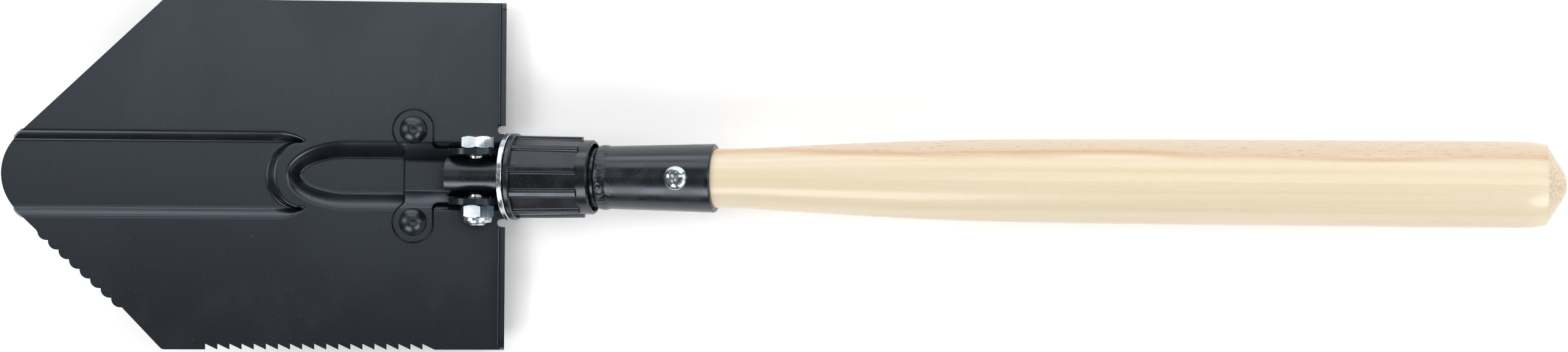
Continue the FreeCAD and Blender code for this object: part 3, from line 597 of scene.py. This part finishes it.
def domeProfile(seat, radius, height, flat, steps=12):  # a rounded head with a small flat on top
    ball = (radius ** 2 + height ** 2) / (2 * height)
    rim = asin(radius / ball)
    tuck = dimple = 0.1
    points = [(seat - tuck / 2, radius - tuck)]
    for step in range(steps + 1):
        turn = rim * (1 - step / steps) + asin(flat / ball) * step / steps
        points.append((seat + height - ball + ball * cos(turn), ball * sin(turn)))
    top = points[-1][0]
    return points + [(top - dimple * 0.8, flat * 0.8), (top - dimple, 0.0)]


def makeBracketRivets(size):
    upright = Matrix.Rotation(-pi / 2, 4, 'Y')
    under = size["under"]
    for name, y in size["places"].items():
        upper = domeProfile(size["seat"], size["head"], size["height"], size["flat"])
        tail = domeProfile(under, size["tail"], size["tailHeight"], size["tailFlat"])
        lower = [(2 * under - along, radius) for along, radius in tail[::-1]]
        shank = [(under + size["neck"], size["shank"]), (size["seat"] - size["neck"], size["shank"])]
        bm = turned(lower + shank + upper, 64)
        place = bladePlace @ Matrix.Translation((size["x"], y, 0)) @ upright
        finishPiece(name + "_dome", bm, place, "blade_group", [name], blackCoat)


def makeHandleRivet(size):
    low = size["surface"] - size["sunk"]
    rim = size["surface"] + size["rise"]
    points = [(low, 0.0), (low, size["head"] - 0.1), (rim, size["head"])]
    for step in range(1, 9):
        turn = pi / 2 * step / 8
        points.append((rim + (size["height"] - size["rise"]) * sin(turn), size["head"] * cos(turn)))
    bm = turned(points, 64)
    for vert in bm.verts:  # uneven flats, as a hammer leaves them
        above = max(0.0, vert.co.x - size["surface"])
        angle = atan2(vert.co.z, vert.co.y)
        vert.co.x -= size["hammered"] * above * (1 + sin(0.9 * vert.co.y + 0.7) * cos(1.1 * vert.co.z))
        shrink = 1 - size["unround"] * (1 + sin(3 * angle + 1.3))
        vert.co.y *= shrink
        vert.co.z *= shrink
    upper = bm.verts[:]
    second = bmesh.ops.duplicate(bm, geom=bm.verts[:] + bm.edges[:] + bm.faces[:])
    lower = [item for item in second["geom"] if isinstance(item, bmesh.types.BMVert)]
    for verts, turn in ((upper, -pi / 2), (lower, pi / 2)):
        place = Matrix.Translation((size["x"], 0, 0)) @ Matrix.Rotation(turn, 4, 'Y')
        bmesh.ops.transform(bm, matrix=place, verts=verts)
    finishPiece("handle_rivet_heads", bm, shaftPlace, "shaft", ["handle_rivet"], zinc)


def makeWeld(size):
    bm = turned(size["profile"], 288)
    for vert in bm.verts:
        angle = atan2(vert.co.z, vert.co.y)
        past = vert.co.x - size["middle"]
        share = max(0.0, 1 - abs(past) / size["reach"])
        wave = sin(size["ripples"] * angle + 1.2 * past ** 2 + 0.8 * sin(3 * angle))
        radius = hypot(vert.co.y, vert.co.z)
        shrink = 1 - size["ripple"] * share * (0.55 - 0.45 * wave) / radius
        vert.co.y *= shrink
        vert.co.z *= shrink
    finishPiece("weld_bead", bm, shaftPlace, "shaft", ["socket_weld"], socketBlack)


makeBracketRivets(rivets)
makeHandleRivet(handleRivet)
makeWeld(weldBead)
print("shovel: rivets and weld made")


# pieces whose turned or threaded shape comes straight from the frame

keptNodes = {"pivot_bolt": zinc, "pivot_nut": zinc, "nut_insert": nylonRing, "shim_left": glossBlack,
             "shim_right": glossBlack, "lock_washer": zincWasher, "pivot_bush": glossBlack,
             "neck_tube": glossBlack, "thread_bush": glossBlack, "lock_collar": glossBlack,
             "socket": socketBlack, "handle": ashWood}
for nodeName, finish in keptNodes.items():
    mesh = frame["nodes"][nodeName].data
    mesh.materials.clear()
    mesh.materials.append(finish)
print("shovel: kept pieces given their finishes")


# studio: floor, lights and camera

studio = {"floor": (0.95, 0.95, 0.955, 1), "floorLow": 0.985, "floorHalf": 4.0, "world": 0.1,
          "lens": 69.9, "sensor": 36.0, "distance": 1.277, "tilt": 10.5, "roll": 0.45,
          "target": (0.1332, 0.0012, 0.0)}

softboxes = {  # metres and watts: where each one is, what it faces, how large and how strong it is
    "overhead": {"at": (0.66, 0.32, 1.75), "aim": (0.66, 0.32, 0.0), "size": (1.85, 0.64), "power": 8.2},
    "frontLeft": {"at": (-0.52, -1.0, 0.95), "aim": (-0.1, 0.0, 0.0), "size": (0.85, 0.6), "power": 10.0},
    "frontRight": {"at": (1.0, -0.95, 0.95), "aim": (0.2, 0.0, 0.0), "size": (0.9, 0.7), "power": 13.0},
    "backLow": {"at": (0.0, 1.5, 0.45), "aim": (0.0, 0.0, 0.0), "size": (2.8, 0.5), "power": 16.0},
    "backHigh": {"at": (0.1, 1.6, 1.5), "aim": (0.1, 0.1, 0.0), "size": (2.6, 0.8), "power": 18.0},
    "leftFill": {"at": (-1.5, 0.3, 1.6), "aim": (0.0, 0.1, 0.0), "size": (1.0, 1.2), "power": 14.0},
    "rightFill": {"at": (1.9, 0.3, 1.2), "aim": (0.1, 0.1, 0.0), "size": (1.0, 1.0), "power": 14.0}}


def makeFloor():
    material, tree, shader = newMaterial("paleFloor", Roughness=0.85)
    mottle = noiseOut(tree, objectPlace(tree), 3.0)
    low = tuple(value * studio["floorLow"] for value in studio["floor"][:3]) + (1,)
    tree.links.new(mixOut(tree, mottle, low, studio["floor"]), shader.inputs["Base Color"])
    bm = bmesh.new()
    bmesh.ops.create_grid(bm, x_segments=2, y_segments=2, size=studio["floorHalf"])
    mesh = bpy.data.meshes.new("floor")
    bm.to_mesh(mesh)
    bm.free()
    mesh.materials.append(material)
    floor = bpy.data.objects.new("floor", mesh)
    bpy.context.scene.collection.objects.link(floor)


def makeLights():
    world = bpy.data.worlds.new("studioWorld")
    bpy.context.scene.world = world
    world.use_nodes = True
    sky = next(node for node in world.node_tree.nodes if node.type == 'BACKGROUND')
    sky.inputs["Color"].default_value = (1.0, 1.0, 1.0, 1)
    sky.inputs["Strength"].default_value = studio["world"]
    for name, light in softboxes.items():
        lamp = bpy.data.lights.new(name, 'AREA')
        lamp.shape = 'RECTANGLE'
        lamp.size, lamp.size_y = light["size"]
        lamp.energy = light["power"]
        holder = bpy.data.objects.new(name, lamp)
        holder.location = light["at"]
        facing = Vector(light["aim"]) - Vector(light["at"])
        holder.rotation_euler = facing.to_track_quat('-Z', 'Y').to_euler()
        bpy.context.scene.collection.objects.link(holder)


def makeCamera():
    tilt = radians(studio["tilt"])
    back = Vector((sin(tilt), 0.0, cos(tilt)))
    up = Matrix.Rotation(radians(studio["roll"]), 3, back) @ Vector((0.0, 1.0, 0.0))
    right = up.cross(back).normalized()
    target = pivot + Vector(studio["target"])
    camera = bpy.data.cameras.new("camera")
    camera.lens = studio["lens"]
    camera.sensor_width = studio["sensor"]
    holder = bpy.data.objects.new("camera", camera)
    aimed = Matrix((right, up, back)).transposed().to_4x4()
    holder.matrix_world = Matrix.Translation(target + back * studio["distance"]) @ aimed
    bpy.context.scene.collection.objects.link(holder)
    bpy.context.scene.camera = holder


makeFloor()
makeLights()
makeCamera()
bpy.context.scene.view_settings.view_transform = 'Standard'
print("shovel: studio made")
